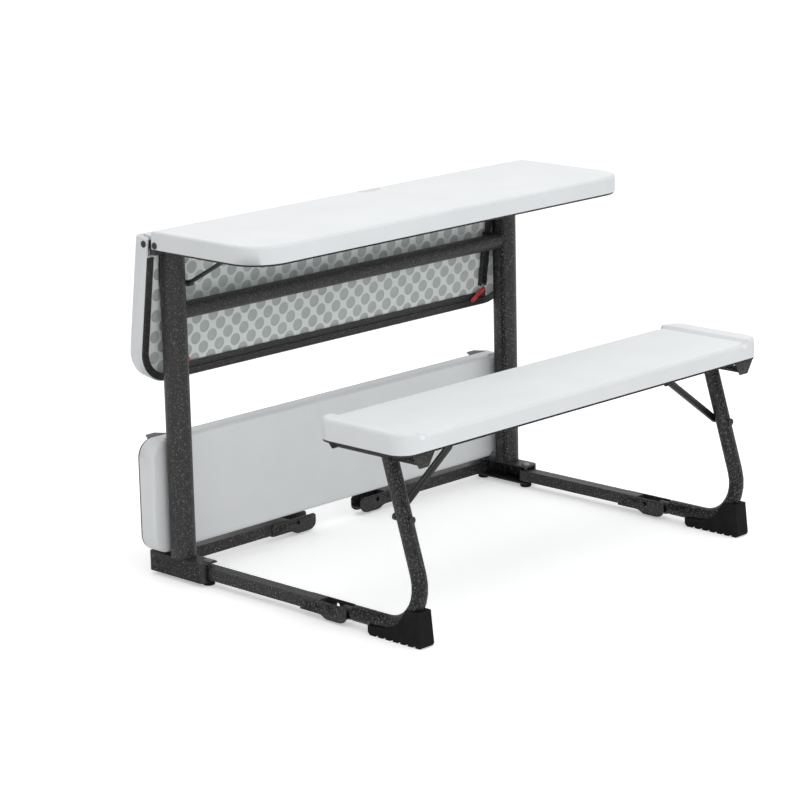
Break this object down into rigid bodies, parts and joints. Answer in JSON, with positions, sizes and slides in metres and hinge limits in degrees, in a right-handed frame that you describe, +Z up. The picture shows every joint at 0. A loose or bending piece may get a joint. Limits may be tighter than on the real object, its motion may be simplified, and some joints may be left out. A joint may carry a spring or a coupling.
{
  "type": "folding cafeteria table with benches",
  "caption": "White-topped dining table on a dark tube frame with hinged half tops, red release levers, swing-out floor beams and a detachable bench on folding legs at each side.",
  "frame": {"origin": "centre of the bounding box's footprint, on the floor", "axes": "+X along the table, +Z up, -Y towards the bench that is set up"},
  "size_m": [1.115, 0.8, 0.74],
  "materials": {
    "white_panel": "fine matt grain",
    "hammertone_paint": "hammered charcoal paint",
    "black_paint": "satin black paint",
    "dark_steel": "dark plated steel",
    "black_rubber": "matt rubber",
    "red_lever": "semi-gloss plastic"
  },
  "bodies": {
    "frame": {"post_left": "hammertone_paint", "post_right": "hammertone_paint", "crossbar": "hammertone_paint", "base_bracket_left": "hammertone_paint", "base_bracket_right": "hammertone_paint", "hinge_bracket_left": "black_paint", "hinge_bracket_right": "black_paint", "beam_bolt_near_left": "dark_steel", "beam_bolt_near_right": "dark_steel", "beam_bolt_far_left": "dark_steel", "beam_bolt_far_right": "dark_steel", "glide_near_left": "black_rubber", "glide_near_right": "black_rubber", "glide_far_left": "black_rubber", "glide_far_right": "black_rubber", "hinge_bolt_near_left": "black_paint", "hinge_bolt_near_right": "black_paint", "hinge_bolt_far_left": "black_paint", "hinge_bolt_far_right": "black_paint"},
    "near_top": {"top_near": "white_panel", "top_rail_near": "hammertone_paint", "brace_channel_near_left": "hammertone_paint", "brace_channel_near_right": "hammertone_paint"},
    "near_braces": {"top_brace_near_left": "hammertone_paint", "top_brace_near_right": "hammertone_paint"},
    "near_lever_left": {"release_lever_near_left": "red_lever"},
    "near_lever_right": {"release_lever_near_right": "red_lever"},
    "far_top": {"top_far": "white_panel", "top_rail_far": "hammertone_paint", "brace_channel_far_left": "hammertone_paint", "brace_channel_far_right": "hammertone_paint"},
    "far_braces": {"top_brace_far_left": "hammertone_paint", "top_brace_far_right": "hammertone_paint"},
    "far_lever_left": {"release_lever_far_left": "red_lever"},
    "far_lever_right": {"release_lever_far_right": "red_lever"},
    "near_bench": {"bench_seat_near": "white_panel", "bench_rail_near": "hammertone_paint"},
    "near_leg_left": {"bench_leg_near_left": "hammertone_paint", "bench_foot_near_left": "black_rubber"},
    "near_leg_right": {"bench_leg_near_right": "hammertone_paint", "bench_foot_near_right": "black_rubber"},
    "near_leg_brace_left": {"leg_brace_near_left": "black_paint"},
    "near_leg_brace_right": {"leg_brace_near_right": "black_paint"},
    "near_beam_left": {"floor_beam_near_left": "hammertone_paint", "beam_end_bracket_near_left": "hammertone_paint"},
    "near_beam_right": {"floor_beam_near_right": "hammertone_paint", "beam_end_bracket_near_right": "hammertone_paint"},
    "far_bench": {"bench_seat_far": "white_panel", "bench_rail_far": "hammertone_paint"},
    "far_leg_left": {"bench_leg_far_left": "hammertone_paint", "bench_foot_far_left": "black_rubber"},
    "far_leg_right": {"bench_leg_far_right": "hammertone_paint", "bench_foot_far_right": "black_rubber"},
    "far_leg_brace_left": {"leg_brace_far_left": "black_paint"},
    "far_leg_brace_right": {"leg_brace_far_right": "black_paint"},
    "far_beam_left": {"floor_beam_far_left": "hammertone_paint", "beam_end_bracket_far_left": "hammertone_paint"},
    "far_beam_right": {"floor_beam_far_right": "hammertone_paint", "beam_end_bracket_far_right": "hammertone_paint"}
  },
  "joints": [
    {"name": "near_top_fold", "type": "hinge", "parent": "frame", "child": "near_top", "pos_m": [0, 0.273, 0.712], "axis": [1, 0, 0], "range_deg": [0, 82]},
    {"name": "far_top_open", "type": "hinge", "parent": "frame", "child": "far_top", "pos_m": [0, 0.306, 0.712], "axis": [1, 0, 0], "range_deg": [0, 82]},
    {"name": "near_braces_swing", "type": "hinge", "parent": "frame", "child": "near_braces", "pos_m": [0, 0.2765, 0.622], "axis": [1, 0, 0], "range_deg": [0, 110.5]},
    {"name": "far_braces_swing", "type": "hinge", "parent": "frame", "child": "far_braces", "pos_m": [0, 0.3025, 0.622], "axis": [1, 0, 0], "range_deg": [0, 110.5]},
    {"name": "near_lever_press_left", "type": "hinge", "parent": "near_top", "child": "near_lever_left", "pos_m": [-0.448, -0.0015, 0.698], "axis": [0, 0, 1], "range_deg": [0, 20], "stiffness_Nm_per_rad": 0.5, "springref_deg": -11.46},
    {"name": "near_lever_press_right", "type": "hinge", "parent": "near_top", "child": "near_lever_right", "pos_m": [0.448, -0.0015, 0.698], "axis": [0, 0, 1], "range_deg": [0, 20], "stiffness_Nm_per_rad": 0.5, "springref_deg": -11.46},
    {"name": "far_lever_press_left", "type": "hinge", "parent": "far_top", "child": "far_lever_left", "pos_m": [-0.448, 0.33628, 0.43906], "axis": [0, 0.9903, 0.1392], "range_deg": [0, 20], "stiffness_Nm_per_rad": 0.5, "springref_deg": -11.46},
    {"name": "far_lever_press_right", "type": "hinge", "parent": "far_top", "child": "far_lever_right", "pos_m": [0.448, 0.33628, 0.43906], "axis": [0, 0.9903, 0.1392], "range_deg": [0, 20], "stiffness_Nm_per_rad": 0.5, "springref_deg": -11.46},
    {"name": "near_bench_lift", "type": "slide", "parent": "frame", "child": "near_bench", "axis": [0, 0, 1], "range_m": [0, 0.45]},
    {"name": "far_bench_pull", "type": "slide", "parent": "frame", "child": "far_bench", "axis": [0, 1, 0], "range_m": [0, 0.45]},
    {"name": "near_leg_fold_left", "type": "hinge", "parent": "near_bench", "child": "near_leg_left", "pos_m": [-0.487, -0.2805, 0.3655], "axis": [0, -1, 0], "range_deg": [0, 90]},
    {"name": "near_leg_fold_right", "type": "hinge", "parent": "near_bench", "child": "near_leg_right", "pos_m": [0.487, -0.2805, 0.3655], "axis": [0, 1, 0], "range_deg": [0, 90]},
    {"name": "near_leg_brace_swing_left", "type": "hinge", "parent": "near_leg_left", "child": "near_leg_brace_left", "pos_m": [-0.487, -0.3205, 0.247], "axis": [0, 1, 0], "range_deg": [0, 129]},
    {"name": "near_leg_brace_swing_right", "type": "hinge", "parent": "near_leg_right", "child": "near_leg_brace_right", "pos_m": [0.487, -0.3205, 0.247], "axis": [0, -1, 0], "range_deg": [0, 129]},
    {"name": "near_beam_swing_left", "type": "hinge", "parent": "frame", "child": "near_beam_left", "pos_m": [-0.487, 0.2245, 0.028], "axis": [0, 0, 1], "range_deg": [0, 90]},
    {"name": "near_beam_swing_right", "type": "hinge", "parent": "frame", "child": "near_beam_right", "pos_m": [0.487, 0.2245, 0.028], "axis": [0, 0, -1], "range_deg": [0, 90]},
    {"name": "far_leg_unfold_left", "type": "hinge", "parent": "far_bench", "child": "far_leg_left", "pos_m": [-0.487, 0.3825, 0.1741], "axis": [0, 0, 1], "range_deg": [0, 90]},
    {"name": "far_leg_unfold_right", "type": "hinge", "parent": "far_bench", "child": "far_leg_right", "pos_m": [0.487, 0.3825, 0.1741], "axis": [0, 0, -1], "range_deg": [0, 90]},
    {"name": "far_leg_brace_swing_left", "type": "hinge", "parent": "far_leg_left", "child": "far_leg_brace_left", "pos_m": [-0.3685, 0.3825, 0.1741], "axis": [0, 0, -1], "range_deg": [0, 129]},
    {"name": "far_leg_brace_swing_right", "type": "hinge", "parent": "far_leg_right", "child": "far_leg_brace_right", "pos_m": [0.3685, 0.3825, 0.1741], "axis": [0, 0, 1], "range_deg": [0, 129]},
    {"name": "far_beam_swing_left", "type": "hinge", "parent": "frame", "child": "far_beam_left", "pos_m": [-0.487, 0.3545, 0.028], "axis": [0, 0, 1], "range_deg": [0, 90]},
    {"name": "far_beam_swing_right", "type": "hinge", "parent": "frame", "child": "far_beam_right", "pos_m": [0.487, 0.3545, 0.028], "axis": [0, 0, -1], "range_deg": [0, 90]}
  ],
  "couplings": [
    {"joint": "near_braces_swing", "follows": "near_top_fold", "ratio": 1.3415},
    {"joint": "far_braces_swing", "follows": "far_top_open", "ratio": 1.3415},
    {"joint": "near_leg_fold_left", "follows": "near_bench_lift", "rad_per_m": 3.4906},
    {"joint": "near_leg_fold_right", "follows": "near_bench_lift", "rad_per_m": 3.4906},
    {"joint": "near_leg_brace_swing_left", "follows": "near_bench_lift", "rad_per_m": 5.002},
    {"joint": "near_leg_brace_swing_right", "follows": "near_bench_lift", "rad_per_m": 5.002},
    {"joint": "near_beam_swing_left", "follows": "near_bench_lift", "rad_per_m": 3.4906},
    {"joint": "near_beam_swing_right", "follows": "near_bench_lift", "rad_per_m": 3.4906},
    {"joint": "far_leg_brace_swing_left", "follows": "far_leg_unfold_left", "ratio": 1.433},
    {"joint": "far_leg_brace_swing_right", "follows": "far_leg_unfold_right", "ratio": 1.433}
  ]
}
